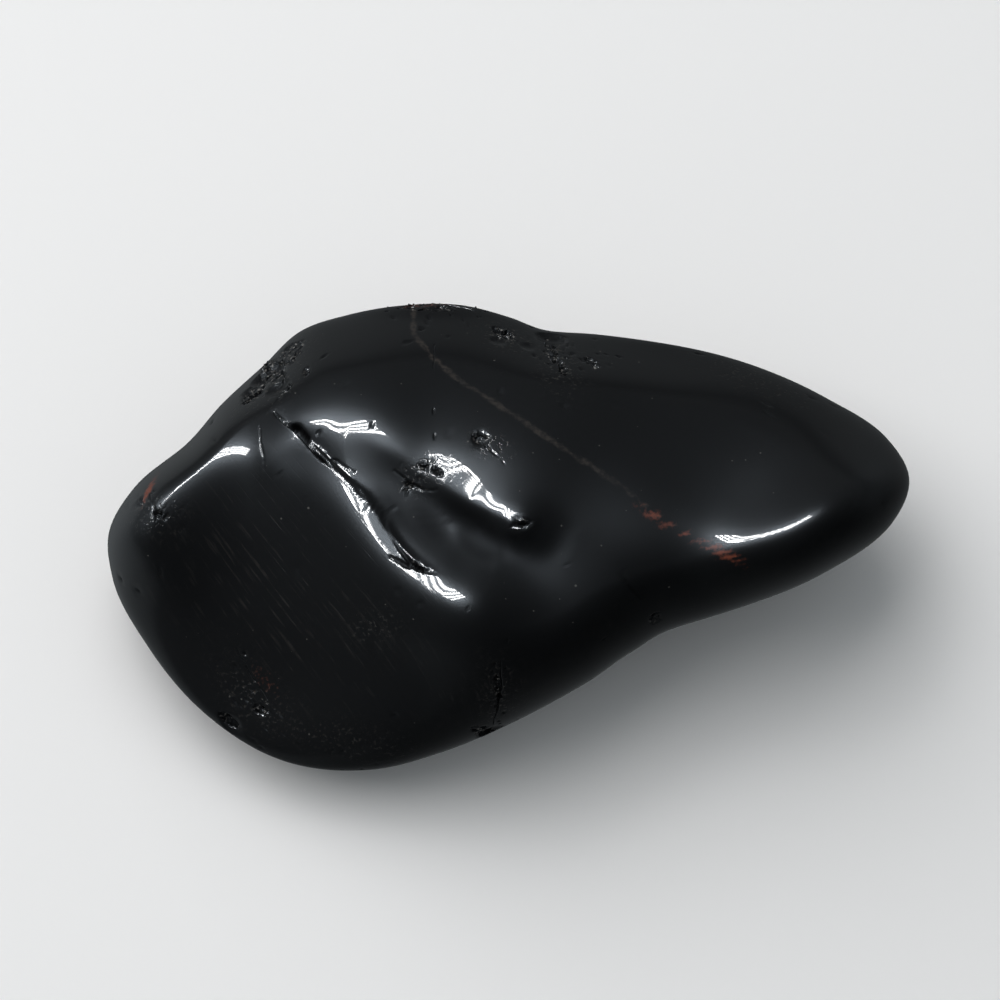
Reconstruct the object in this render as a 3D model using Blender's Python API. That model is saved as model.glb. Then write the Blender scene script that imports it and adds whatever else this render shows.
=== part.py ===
"""Tumbled black tourmaline: one solid pebble, about 46 mm long, lying on its flattest side.

The pebble is shaped in the frame of its broad face, in millimetres: x along the face, y up it and
w out of it. The face leans back by FACE_LEAN to how the pebble lies, with +Z up and z = 0 on the
table; heights above the table are written h.
"""

import math

import bmesh
import bpy
import numpy as np

MM = 0.001
FACE_LEAN = math.radians(25.0)
COS, SIN = math.cos(FACE_LEAN), math.sin(FACE_LEAN)
ORIGIN_H = 8.3  # how high above the table the face frame's origin is

# The girdle, the widest line round the face: bearing in degrees, radius, height above the table,
# and how far in from the girdle the rounding of the face reaches.
GIRDLE = [
    (0, 22.3, 6.0, 3.6),
    (6, 23.5, 6.2, 3.6),
    (12, 22.7, 6.3, 3.6),
    (20, 20.2, 6.4, 3.4),
    (30, 17.4, 6.4, 3.2),
    (45, 14.1, 6.5, 3.2),
    (60, 12.1, 6.6, 3.2),
    (72, 11.25, 6.8, 3.2),
    (82, 11.5, 7.0, 3.4),
    (95, 12.1, 7.2, 3.6),
    (110, 12.8, 7.2, 3.6),
    (122, 13.6, 7.0, 3.6),
    (133, 14.5, 6.8, 3.4),
    (144, 14.75, 6.6, 2.8),
    (155, 15.6, 6.4, 2.1),
    (165, 16.7, 6.0, 1.8),
    (174, 19.0, 5.4, 1.9),
    (181, 20.2, 5.0, 2.5),
    (188, 20.2, 4.6, 3.7),
    (200, 19.2, 3.9, 6.0),
    (215, 18.0, 3.3, 7.2),
    (230, 16.6, 3.0, 7.4),
    (245, 14.6, 2.9, 6.8),
    (260, 12.5, 3.0, 6.0),
    (275, 11.1, 3.3, 5.2),
    (290, 10.4, 3.7, 4.6),
    (305, 10.3, 4.2, 4.2),
    (320, 10.7, 4.7, 4.0),
    (332, 11.9, 5.1, 4.0),
    (343, 15.0, 5.4, 3.6),
    (352, 18.8, 5.8, 3.4),
]

# The broad top as it would be without the valley: heights h at points (x, y) of the face.
TOP = [
    (-22.0, -2.0, 8.4),
    (-20.0, -0.4, 9.6),
    (-20.0, -4.0, 7.2),
    (-17.7, 2.8, 10.3),
    (-17.7, 1.3, 10.3),
    (-17.7, -3.0, 8.4),
    (-17.7, -6.5, 6.5),
    (-14.9, 6.0, 10.5),
    (-14.9, 3.9, 11.0),
    (-14.9, 0.0, 10.15),
    (-14.9, -4.0, 7.8),
    (-14.9, -9.0, 5.4),
    (-11.4, 10.0, 9.7),
    (-11.4, 7.5, 11.0),
    (-11.4, 4.8, 11.6),
    (-11.4, 1.5, 11.1),
    (-11.4, -1.5, 9.9),
    (-11.4, -5.0, 8.0),
    (-11.4, -9.0, 5.8),
    (-9.8, 6.0, 12.25),
    (-8.6, 2.9, 12.1),
    (-8.6, 0.0, 11.45),
    (-8.6, -2.5, 10.55),
    (-8.6, -7.0, 8.0),
    (-8.6, -12.0, 5.8),
    (-7.6, 11.8, 9.4),
    (-7.6, 8.4, 11.9),
    (-7.6, 5.8, 12.8),
    (-5.2, 5.3, 13.15),
    (-2.6, 5.6, 12.95),
    (-5.6, -0.6, 12.4),
    (-5.6, -4.0, 11.4),
    (-4.0, -7.5, 10.0),
    (-4.0, -12.0, 7.6),
    (-2.4, 2.6, 13.3),
    (-2.2, -3.1, 13.0),
    (0.0, -3.9, 13.4),
    (0.5, -7.0, 11.9),
    (0.5, -11.0, 9.4),
    (-1.2, 3.4, 13.5),
    (0.0, 1.9, 13.4),
    (1.3, 2.6, 13.6),
    (0.0, 5.2, 13.2),
    (0.0, 8.4, 11.6),
    (0.0, 12.0, 8.8),
    (3.2, -4.8, 12.2),
    (3.2, -8.5, 10.9),
    (2.6, -2.2, 12.6),
    (0.6, -1.2, 12.85),
    (3.0, 0.8, 13.42),
    (2.7, -0.1, 13.2),
    (5.5, 2.5, 13.0),
    (5.5, 7.7, 11.2),
    (5.5, 11.0, 8.3),
    (5.5, -1.6, 12.72),
    (7.6, -3.2, 12.05),
    (7.6, -6.5, 10.6),
    (11.0, -2.4, 11.55),
    (11.0, -5.5, 10.0),
    (11.0, 0.0, 12.1),
    (11.0, 1.5, 11.95),
    (11.0, 6.5, 10.5),
    (11.0, 10.0, 7.7),
    (13.8, -1.3, 11.7),
    (16.2, -0.4, 12.05),
    (16.2, 2.5, 11.6),
    (16.2, 5.3, 10.4),
    (16.2, 9.0, 8.3),
    (17.0, -3.5, 12.2),
    (18.4, 0.7, 12.65),
    (20.0, 3.0, 11.5),
    (20.0, 6.0, 9.5),
    (23.0, 1.5, 11.3),
]

# The crest: x, y, how much it stands up as a ridge, and then for the valley's wall behind it how far
# the wall takes to steepen and its slope. The wall starts CREST_FLAT behind the line.
CREST = [
    (-24.0, -4.7, 0.10, 3.0, 0.0),
    (-20.6, -1.6, 0.20, 3.0, 0.0),
    (-17.7, 1.2, 0.40, 3.0, 0.0),
    (-14.9, 3.6, 0.50, 3.0, 0.0),
    (-12.5, 4.4, 0.50, 2.4, 0.2),
    (-10.8, 4.1, 0.50, 2.0, 0.4),
    (-9.7, 3.2, 0.45, 1.4, 0.5),
    (-8.7, 2.2, 0.50, 1.0, 0.5),
    (-7.2, 0.6, 0.55, 0.8, 0.4),
    (-5.6, -1.5, 0.55, 0.8, 0.35),
    (-4.0, -3.0, 0.50, 1.0, 0.3),
    (-2.2, -4.3, 0.40, 1.4, 0.2),
    (0.0, -5.1, 0.25, 2.4, 0.05),
    (2.4, -5.4, 0.10, 3.0, 0.0),
    (5.0, -5.8, 0.00, 3.0, 0.0),
    (8.0, -6.0, 0.00, 3.0, 0.0),
]
RIDGE_REACH = 2.3
CREST_FLAT = 1.2

# The brow, the valley's far edge: x, y, how much its lip stands up, and the last two columns for the
# wall in front of it. The lip reaches less far in front of the line than behind it.
BROW = [
    (-12.5, 5.0, 0.0, 3.0, 0.0),
    (-10.8, 5.4, 0.0, 3.0, 0.2),
    (-9.0, 5.6, 0.0, 3.0, 0.3),
    (-7.2, 5.5, 0.0, 3.0, 0.35),
    (-5.4, 4.95, 0.0, 2.6, 0.4),
    (-4.2, 4.15, 0.05, 1.4, 0.4),
    (-2.9, 3.25, 0.12, 0.6, 0.4),
    (-1.6, 2.4, 0.25, 0.4, 0.4),
    (0.0, 1.5, 0.32, 0.4, 0.4),
    (1.2, 0.85, 0.35, 0.4, 0.35),
    (2.5, 0.05, 0.30, 0.4, 0.2),
    (3.6, -0.65, 0.05, 2.0, 0.0),
    (5.0, -1.5, 0.0, 3.0, 0.0),
    (8.0, -3.2, 0.0, 3.0, 0.0),
]
LIP_REACH = (0.8, 1.5)
VALLEY_SOFT = 0.7
DOME = (-7.2, 6.2, 5.0, 3.0, -4, 0.25)

# The shoulder, a rounded edge at the front of the +x lobe: x, y and how much it stands up.
SHOULDER = [
    (9.5, -2.9, 0.0),
    (11.2, -2.4, 0.05),
    (12.4, -1.9, 0.35),
    (13.8, -1.4, 0.65),
    (16.2, -0.5, 0.8),
    (18.4, 0.7, 0.6),
    (20.5, 2.2, 0.2),
    (22.5, 3.4, 0.0),
]
SHOULDER_REACH = 2.2

# The crack along the foot of the crest: x, y, and how far the valley side has dropped.
CRACK = [
    (-11.4, 6.1, 0.0),
    (-10.4, 5.5, 0.3),
    (-9.2, 4.5, 0.5),
    (-8.0, 3.4, 0.5),
    (-6.9, 2.4, 0.4),
    (-6.0, 1.6, 0.35),
    (-5.2, 0.5, 0.3),
    (-4.1, -1.0, 0.25),
    (-3.0, -2.0, 0.15),
    (-2.0, -2.6, 0.0),
]
CRACK_WIDTH = 0.45
CRACK_GROOVE = 0.9  # how deep the crack's groove is, as a share of the drop
CRACK_STEP_REACH = 1.6

# Where flakes have broken away: x, y, the radius of the scoop that each has left and its depth.
CHIPS = [
    (-11.6, 8.2, 2.0, 0.35),
    (-10.9, 7.4, 1.6, 0.25),
    (-12.5, 7.3, 1.5, 0.22),
    (-10.2, 6.8, 1.3, 0.18),
    (0.0, 4.6, 1.0, 0.28),
    (-0.5, 4.3, 0.8, 0.20),
    (-3.8, 2.6, 1.4, 0.30),
    (-2.8, 2.0, 1.2, 0.25),
    (3.7, 9.1, 1.8, 0.25),
    (2.6, 9.7, 1.6, 0.20),
    (1.0, 10.0, 1.7, 0.20),
    (0.5, -11.1, 2.0, 0.30),
    (-0.6, -9.4, 2.4, 0.16),
    (-18.4, 1.2, 1.4, 0.25),
    (-17.3, 0.5, 1.2, 0.22),
    (-13.4, -10.8, 1.8, 0.28),
]

TOP_EASE = 0.5
SLOPE_STEP = 0.05  # across which a slope is read

# The nearest point of a line is taken from LINE_READS points and then closed in on LINE_STEPS times.
LINE_READS = 80
LINE_STEPS = 6
LINE_DAMPING = 0.7
ON_GIRDLE = 0.999  # the share of the radius from which a point counts as on the girdle
BATCH = 2000  # how many points are measured against the girdle at once

# The underside is a bowl that would reach UNDER_H, below the table, and is rubbed flat at the table.
# It rises by TIP_RISE towards the +x tip. From UNDER_BACK on, the back wall turns upright over
# UNDER_TURN of its depth.
UNDER_H = -2.5
UNDER_REACH = 10.0
UNDER_BACK = 6.0
UNDER_TURN = 4.0
TIP_RISE = 5.0
REST_SOFT = 2.0

# The mesh: rows of faces along x, y and w, and how near a detail they are split again and again.
ROWS = (38, 22, 9)
SPLIT_NEAR = (1.5, 0.8)
DETAIL_LINES = (CREST[4:-2], BROW[1:-1], CRACK)
BALL_FLATNESS = 0.55


def read_curve(knots, at, closed=False):
    """Reads the columns of a table of knots, as smooth curves over its first column."""
    table = np.array(knots, float)
    if closed:
        before, after = table[-2:].copy(), table[:2].copy()
        before[:, 0] -= 360
        after[:, 0] += 360
        table = np.vstack([before, table, after])
        at = np.mod(at, 360)
    place = table[:, 0]
    slope = np.gradient(table, place, axis=0)
    at = np.clip(at, place[0], place[-1])
    i = np.clip(np.searchsorted(place, at, side="right") - 1, 0, len(place) - 2)
    step = place[i + 1] - place[i]
    t = ((at - place[i]) / step)[:, None]
    step = step[:, None]
    read = (
        (1 + 2 * t) * (1 - t) ** 2 * table[i]
        + t * (1 - t) ** 2 * step * slope[i]
        + t**2 * (3 - 2 * t) * table[i + 1]
        - t**2 * (1 - t) * step * slope[i + 1]
    )
    return read.T[1:]


def lower(a, b, soft):
    """The lower of two heights, blended over soft millimetres where they meet."""
    share = np.maximum(soft - np.abs(a - b), 0) / soft
    return np.minimum(a, b) - share**2 * soft / 4


def higher(a, b, soft):
    """The higher of two heights, blended in the same way."""
    return -lower(-a, -b, soft)


def fall(distance, slope, ease):
    """How far a slope has dropped at a distance, when it takes ease millimetres to steepen."""
    distance = np.maximum(distance, 0)
    return slope * (np.sqrt(distance**2 + ease**2) - ease)


def swell(x, y, at_x, at_y, length, width, turn, height):
    """A rounded rise of the given height, with its length turned by turn degrees from x."""
    c, s = math.cos(math.radians(turn)), math.sin(math.radians(turn))
    along = (x - at_x) * c + (y - at_y) * s
    across = (y - at_y) * c - (x - at_x) * s
    return height * np.exp(-((along / length) ** 2) - (across / width) ** 2)


def through_heights(points, x, y):
    """A smooth surface through points (x, y, h), read at other x and y."""
    at = np.array([p[:2] for p in points], float)
    n = len(at)
    system = np.zeros((n + 3, n + 3))
    system[:n, :n] = np.linalg.norm(at[:, None] - at, axis=2) ** 3 + TOP_EASE * np.eye(n)
    system[:n, n] = system[n, :n] = 1
    system[:n, n + 1:] = at
    system[n + 1:, :n] = at.T
    weights = np.linalg.solve(system, [p[2] for p in points] + [0, 0, 0])
    h = weights[n] + weights[n + 1] * x + weights[n + 2] * y
    for (px, py), weight in zip(at, weights):
        h = h + weight * np.hypot(x - px, y - py) ** 3
    return h


def behind_line(knots, x, y):
    """The distance of each point behind a line of knots, and the line's other columns there."""
    best = np.full(len(x), np.inf)
    at = np.zeros(len(x))
    for line_x in np.linspace(knots[0][0], knots[-1][0], LINE_READS):
        gap = np.hypot(x - line_x, y - read_curve(knots, np.array([line_x]))[0])
        closer = gap < best
        best[closer] = gap[closer]
        at[closer] = line_x
    for _ in range(LINE_STEPS):
        line_y = read_curve(knots, at)[0]
        slope = (read_curve(knots, at + SLOPE_STEP)[0] - line_y) / SLOPE_STEP
        at = at + LINE_DAMPING * (x - at + (y - line_y) * slope) / (1 + slope**2)
        at = np.clip(at, knots[0][0], knots[-1][0] - SLOPE_STEP)
    columns = read_curve(knots, at)
    side = np.where(y > read_curve(knots, x)[0], 1, -1)
    return side * np.hypot(x - at, y - columns[0]), columns[1:]


def face_height(x, y):
    """The height of the face above the table, before it rounds off to the girdle."""
    h = through_heights(TOP, x, y) + swell(x, y, *DOME)
    past, (rise,) = behind_line(SHOULDER, x, y)
    h = h + rise * np.exp(-((past / SHOULDER_REACH) ** 2))
    past, (ridge, ease, slope) = behind_line(CREST, x, y)
    h = h + ridge * np.exp(-((past / RIDGE_REACH) ** 2))
    near_wall = fall(past - CREST_FLAT, slope, ease)
    past, (lip, ease, slope) = behind_line(BROW, x, y)
    h = h + lip * np.exp(-((past / np.where(past < 0, *LIP_REACH)) ** 2))
    far_wall = fall(-past, slope, ease)
    valley = np.maximum(lower(near_wall, far_wall, VALLEY_SOFT), 0)
    past, (drop,) = behind_line(CRACK, x, y)
    over = np.clip(past / CRACK_WIDTH + 0.5, 0, 1)
    step = drop * over * over * (3 - 2 * over) * np.exp(-np.maximum(past, 0) / CRACK_STEP_REACH)
    groove = CRACK_GROOVE * drop * np.exp(-((past / CRACK_WIDTH) ** 2))
    return h - valley - np.maximum(step, groove)


def upper_side(x, y):
    """How far out of the face the pebble's upper side stands, its rounded edge included."""
    bearing = np.degrees(np.arctan2(y, x))
    radius, girdle_h, reach = read_curve(GIRDLE, bearing, closed=True)
    inside = np.where(np.hypot(x, y) > radius * ON_GIRDLE, 0, girdle_distance(x, y))
    face = (face_height(x, y) - ORIGIN_H - y * SIN) / COS
    rim = (girdle_h - ORIGIN_H - radius * np.sin(np.radians(bearing)) * SIN) / COS
    return rim + (face - rim) * np.sqrt(1 - (1 - np.minimum(inside / reach, 1)) ** 2)


def under_side(x, y):
    """The same for the underside, and how far its points move in under the face as it goes down."""
    bearing = np.degrees(np.arctan2(y, x))
    radius, girdle_h, _ = read_curve(GIRDLE, bearing, closed=True)
    inside = np.where(np.hypot(x, y) > radius * ON_GIRDLE, 0, girdle_distance(x, y))
    rim = (girdle_h - ORIGIN_H - radius * np.sin(np.radians(bearing)) * SIN) / COS
    bottom_h = UNDER_H + TIP_RISE * (np.maximum(x, 0) / GIRDLE[0][1]) ** 2
    bottom = (bottom_h - ORIGIN_H - y * SIN) / COS
    depth = (rim - bottom) * np.sqrt(1 - (1 - np.minimum(inside / UNDER_REACH, 1)) ** 2)
    back = np.clip((y + UNDER_BACK) / (2 * UNDER_BACK), 0, 1)
    return rim - depth, back * depth**2 / (depth + UNDER_TURN) * SIN / COS


def break_chips(points):
    """Pushes points in to the scoops that the chips have left."""
    for x, y, radius, depth in CHIPS:
        in_x, in_y = -math.copysign(SLOPE_STEP, x), -math.copysign(SLOPE_STEP, y)
        w = upper_side(np.array([x, x + in_x, x]), np.array([y, y, y + in_y]))
        outward = np.array([(w[0] - w[1]) / in_x, (w[0] - w[2]) / in_y, 1])
        outward /= np.linalg.norm(outward)
        away = points - np.array([x, y, w[0]]) - outward * (radius - depth)
        gap = np.linalg.norm(away, axis=1)[:, None]
        points = points + away * np.maximum(radius / gap - 1, 0)
    return points


def pebble_points(directions):
    """Moves points that lie all round the origin onto the pebble's surface."""
    p = np.array(directions, float)
    p /= np.linalg.norm(p, axis=1)[:, None]
    radius = read_curve(GIRDLE, np.degrees(np.arctan2(p[:, 1], p[:, 0])), closed=True)[0]
    x, y = radius * p[:, 0], radius * p[:, 1]
    upper = p[:, 2] > 0
    w = np.zeros(len(p))
    w[upper] = upper_side(x[upper], y[upper])
    w[~upper], inward = under_side(x[~upper], y[~upper])
    y[~upper] -= inward
    x, y, w = break_chips(np.stack([x, y, w], axis=1)).T
    z = higher(ORIGIN_H + y * SIN + w * COS, 0 * w, REST_SOFT)
    return np.stack([x, y * COS - w * SIN, z], axis=1)


def girdle_distance(x, y):
    """How far each point of the face is from the girdle."""
    bearing = np.arange(0, 360, 1.0)
    radius = read_curve(GIRDLE, bearing, closed=True)[0]
    line = np.stack([radius * np.cos(np.radians(bearing)), radius * np.sin(np.radians(bearing))], 1)
    ends = np.roll(line, -1, axis=0)
    step = ends - line
    best = np.full(len(x), np.inf)
    for start in range(0, len(x), BATCH):
        here = np.stack([x[start:start + BATCH], y[start:start + BATCH]], 1)[:, None, :]
        t = np.clip(((here - line) * step).sum(2) / (step**2).sum(1), 0, 1)
        gap = np.linalg.norm(here - line - t[..., None] * step, axis=2)
        best[start:start + BATCH] = gap.min(axis=1)
    return best


def detail_distance(points):
    """How far points of the ball's upper half will be from the nearest crest, crack or chip."""
    p = points / np.linalg.norm(points, axis=1)[:, None]
    radius = read_curve(GIRDLE, np.degrees(np.arctan2(p[:, 1], p[:, 0])), closed=True)[0]
    x, y = radius * p[:, 0], radius * p[:, 1]
    gaps = [np.hypot(x - chip[0], y - chip[1]) for chip in CHIPS]
    gaps += [np.abs(behind_line(line, x, y)[0]) for line in DETAIL_LINES]
    return np.where(p[:, 2] > 0, np.min(gaps, axis=0), np.inf)


def round_box(rows):
    """A box cut into rows along x, y and w and swollen to a ball that is flatter along w."""
    points, faces = [], []
    for axis in range(3):
        u, v = (axis + 1) % 3, (axis + 2) % 3
        grid_u, grid_v = np.meshgrid(
            np.linspace(-1, 1, rows[u] + 1), np.linspace(-1, 1, rows[v] + 1), indexing="ij"
        )
        for side in (-1, 1):
            start = sum(len(p) for p in points)
            block = np.zeros((grid_u.size, 3))
            block[:, axis] = side
            block[:, u] = grid_u.ravel()
            block[:, v] = grid_v.ravel()
            points.append(block)
            n = rows[v] + 1
            for i in range(rows[u]):
                for j in range(rows[v]):
                    a = start + i * n + j
                    face = (a, a + n, a + n + 1, a + 1)
                    faces.append(face if side > 0 else face[::-1])
    points = np.vstack(points)
    _, first, same = np.unique(np.round(points, 6), axis=0, return_index=True, return_inverse=True)
    ball = np.tan(points[first] * math.pi / 4)
    ball[:, 2] *= BALL_FLATNESS
    same = same.ravel()
    return ball, [tuple(int(same[i]) for i in face) for face in faces]


def split_near_details(bm):
    """Halves the edges of the ball that lie near a detail, so that the detail keeps its shape."""
    for near in SPLIT_NEAR:
        bm.verts.index_update()
        close = detail_distance(np.array([v.co[:] for v in bm.verts])) < near
        faces = [f for f in bm.faces if all(close[v.index] for v in f.verts)]
        edges = {e for f in faces for e in f.edges}
        bmesh.ops.subdivide_edges(bm, edges=list(edges), cuts=1, use_grid_fill=True)
    bmesh.ops.triangulate(bm, faces=bm.faces)


def polished_schorl():
    """Black tourmaline with a tumbled polish."""
    material = bpy.data.materials.new("polished_schorl")
    material.use_nodes = True
    shader = material.node_tree.nodes["Principled BSDF"]
    shader.inputs["Base Color"].default_value = (0.006, 0.006, 0.007, 1)
    shader.inputs["Metallic"].default_value = 0
    shader.inputs["Roughness"].default_value = 0.12
    shader.inputs["IOR"].default_value = 1.63
    return material


def make_pebble():
    """The whole pebble, standing on z = 0 with the middle of its outline over the origin."""
    ball, faces = round_box(ROWS)
    mesh = bpy.data.meshes.new("tourmaline_pebble")
    mesh.from_pydata(ball.tolist(), [], faces)
    bm = bmesh.new()
    bm.from_mesh(mesh)
    split_near_details(bm)
    points = pebble_points([v.co[:] for v in bm.verts])
    points[:, :2] -= (points[:, :2].min(axis=0) + points[:, :2].max(axis=0)) / 2
    points[:, 2] -= points[:, 2].min()
    for vert, point in zip(bm.verts, points * MM):
        vert.co = point
    bm.to_mesh(mesh)
    bm.free()
    mesh.shade_smooth()
    mesh.materials.append(polished_schorl())
    pebble = bpy.data.objects.new("tourmaline_pebble", mesh)
    bpy.context.scene.collection.objects.link(pebble)


def clear_scene():
    for obj in list(bpy.data.objects):
        bpy.data.objects.remove(obj)


clear_scene()
make_pebble()
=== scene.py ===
import math

import bmesh
import bpy
import numpy as np
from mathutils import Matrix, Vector


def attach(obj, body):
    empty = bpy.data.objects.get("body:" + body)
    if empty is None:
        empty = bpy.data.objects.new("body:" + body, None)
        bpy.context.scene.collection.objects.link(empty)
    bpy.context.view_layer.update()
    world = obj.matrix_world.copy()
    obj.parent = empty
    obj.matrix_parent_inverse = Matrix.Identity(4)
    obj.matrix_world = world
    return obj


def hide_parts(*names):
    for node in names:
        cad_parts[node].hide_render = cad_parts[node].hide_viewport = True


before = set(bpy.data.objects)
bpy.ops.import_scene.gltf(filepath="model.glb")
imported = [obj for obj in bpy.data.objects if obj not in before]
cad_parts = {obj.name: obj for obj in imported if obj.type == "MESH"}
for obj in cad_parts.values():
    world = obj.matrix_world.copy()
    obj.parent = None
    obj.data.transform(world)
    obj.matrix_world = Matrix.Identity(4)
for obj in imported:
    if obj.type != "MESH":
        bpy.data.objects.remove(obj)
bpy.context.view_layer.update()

# ---- The pebble's form ----
# One pebble of black tourmaline, ground round by tumbling: a broad domed face with a crest and a
# valley across it, lying on its flattest side. It is measured in the frame of that face, in
# millimetres: x along it, y up it and w out of it, and h is the height above the table.

MM = 0.001
FACE_LEAN = math.radians(25.0)
COS, SIN = math.cos(FACE_LEAN), math.sin(FACE_LEAN)
ORIGIN_H = 8.3  # how high above the table the origin of the face's frame is

# The girdle, the widest line round the face: bearing in degrees, radius, height above the table,
# and how far in from the girdle the rounding of the face reaches.
GIRDLE = [
    (0, 22.3, 6.0, 3.6),
    (6, 23.5, 6.2, 3.6),
    (12, 22.7, 6.3, 3.6),
    (20, 20.2, 6.4, 3.4),
    (30, 17.4, 6.4, 3.2),
    (45, 14.1, 6.5, 3.2),
    (60, 12.1, 6.6, 3.2),
    (72, 11.25, 6.8, 3.2),
    (82, 11.5, 7.0, 3.4),
    (95, 12.1, 7.2, 3.6),
    (110, 12.8, 7.2, 3.6),
    (122, 13.6, 7.0, 3.6),
    (133, 14.5, 6.8, 3.4),
    (144, 14.75, 6.6, 2.8),
    (155, 15.6, 6.4, 2.1),
    (165, 16.7, 6.0, 1.8),
    (174, 19.0, 5.4, 1.9),
    (181, 20.2, 5.0, 2.5),
    (188, 20.2, 4.6, 3.7),
    (200, 19.2, 3.9, 6.0),
    (215, 18.0, 3.3, 7.2),
    (230, 16.6, 3.0, 7.4),
    (245, 14.6, 2.9, 6.8),
    (260, 12.5, 3.0, 6.0),
    (275, 11.1, 3.3, 5.2),
    (290, 10.4, 3.7, 4.6),
    (305, 10.3, 4.2, 4.2),
    (320, 10.7, 4.7, 4.0),
    (332, 11.9, 5.1, 4.0),
    (343, 15.0, 5.4, 3.6),
    (352, 18.8, 5.8, 3.4),
]

# The broad top as it would be without the valley: heights h at points (x, y) of the face.
TOP = [
    (-22.0, -2.0, 8.4),
    (-20.0, -0.4, 9.6),
    (-20.0, -4.0, 7.2),
    (-17.7, 2.8, 10.3),
    (-17.7, 1.3, 10.3),
    (-17.7, -3.0, 8.4),
    (-17.7, -6.5, 6.5),
    (-14.9, 6.0, 10.5),
    (-14.9, 3.9, 11.0),
    (-14.9, 0.0, 10.15),
    (-14.9, -4.0, 7.8),
    (-14.9, -9.0, 5.4),
    (-11.4, 10.0, 9.7),
    (-11.4, 7.5, 11.0),
    (-11.4, 4.8, 11.6),
    (-11.4, 1.5, 11.1),
    (-11.4, -1.5, 9.9),
    (-11.4, -5.0, 8.0),
    (-11.4, -9.0, 5.8),
    (-9.8, 6.0, 12.25),
    (-8.6, 2.9, 12.1),
    (-8.6, 0.0, 11.45),
    (-8.6, -2.5, 10.55),
    (-8.6, -7.0, 8.0),
    (-8.6, -12.0, 5.8),
    (-7.6, 11.8, 9.4),
    (-7.6, 8.4, 11.9),
    (-7.6, 5.8, 12.8),
    (-5.2, 5.3, 13.15),
    (-2.6, 5.6, 12.95),
    (-5.6, -0.6, 12.4),
    (-5.6, -4.0, 11.4),
    (-4.0, -7.5, 10.0),
    (-4.0, -12.0, 7.6),
    (-2.4, 2.6, 13.3),
    (-2.2, -3.1, 13.0),
    (0.0, -3.9, 13.4),
    (0.5, -7.0, 11.9),
    (0.5, -11.0, 9.4),
    (-1.2, 3.4, 13.5),
    (0.0, 1.9, 13.4),
    (1.3, 2.6, 13.6),
    (0.0, 5.2, 13.2),
    (0.0, 8.4, 11.6),
    (0.0, 12.0, 8.8),
    (3.2, -4.8, 12.2),
    (3.2, -8.5, 10.9),
    (2.6, -2.2, 12.6),
    (0.6, -1.2, 12.85),
    (3.0, 0.8, 13.42),
    (2.7, -0.1, 13.2),
    (5.5, 2.5, 13.0),
    (5.5, 7.7, 11.2),
    (5.5, 11.0, 8.3),
    (5.5, -1.6, 12.72),
    (7.6, -3.2, 12.05),
    (7.6, -6.5, 10.6),
    (11.0, -2.4, 11.55),
    (11.0, -5.5, 10.0),
    (11.0, 0.0, 12.1),
    (11.0, 1.5, 11.95),
    (11.0, 6.5, 10.5),
    (11.0, 10.0, 7.7),
    (13.8, -1.3, 11.7),
    (16.2, -0.4, 12.05),
    (16.2, 2.5, 11.6),
    (16.2, 5.3, 10.4),
    (16.2, 9.0, 8.3),
    (17.0, -3.5, 12.2),
    (18.4, 0.7, 12.65),
    (20.0, 3.0, 11.5),
    (20.0, 6.0, 9.5),
    (23.0, 1.5, 11.3),
]

# The crest: x, y, how much it stands up as a ridge, and then for the valley's wall behind it how far
# the wall takes to steepen and its slope. The wall starts CREST_FLAT behind the line.
CREST = [
    (-24.0, -4.7, 0.10, 3.0, 0.0),
    (-20.6, -1.6, 0.20, 3.0, 0.0),
    (-17.7, 1.2, 0.40, 3.0, 0.0),
    (-14.9, 3.6, 0.36, 3.0, 0.0),
    (-12.5, 4.4, 0.36, 2.4, 0.2),
    (-10.8, 4.1, 0.50, 2.0, 0.4),
    (-9.7, 3.2, 0.45, 1.4, 0.5),
    (-8.7, 2.2, 0.50, 1.0, 0.5),
    (-7.2, 0.6, 0.55, 0.8, 0.4),
    (-5.6, -1.5, 0.55, 0.8, 0.35),
    (-4.0, -3.0, 0.50, 1.0, 0.3),
    (-2.2, -4.3, 0.40, 1.4, 0.2),
    (0.0, -5.1, 0.25, 2.4, 0.05),
    (2.4, -5.4, 0.10, 3.0, 0.0),
    (5.0, -5.8, 0.00, 3.0, 0.0),
    (8.0, -6.0, 0.00, 3.0, 0.0),
]
RIDGE_REACH = 2.3
CREST_FLAT = 1.2

# The brow, the valley's far edge: x, y, how much its lip stands up, and the last two columns for the
# wall in front of it. The lip reaches less far in front of the line than behind it.
BROW = [
    (-12.5, 5.0, 0.0, 3.0, 0.0),
    (-10.8, 5.4, 0.0, 3.0, 0.2),
    (-9.0, 5.6, 0.0, 3.0, 0.3),
    (-7.2, 5.5, 0.0, 3.0, 0.35),
    (-5.4, 4.95, 0.0, 2.6, 0.4),
    (-4.2, 4.15, 0.05, 1.4, 0.4),
    (-2.9, 3.1, 0.02, 0.6, 0.4),
    (-1.6, 2.05, 0.12, 0.4, 0.4),
    (0.0, 1.05, 0.40, 0.4, 0.4),
    (1.2, 0.4, 0.61, 0.4, 0.35),
    (2.2, -0.15, 0.74, 0.4, 0.2),
    (3.0, -0.6, 0.30, 1.0, 0.05),
    (3.8, -1.0, 0.0, 2.0, 0.0),
    (5.0, -1.5, 0.0, 3.0, 0.0),
    (8.0, -3.2, 0.0, 3.0, 0.0),
]
LIP_REACH = (0.8, 1.5)
VALLEY_SOFT = 0.7  # over which the two walls blend at the valley's foot

# A low dome behind the valley's -x end: x, y, half its length, half its width, its turn in degrees
# and its height.
DOME = (-7.2, 6.2, 5.0, 3.0, -4, 0.25)

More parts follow.
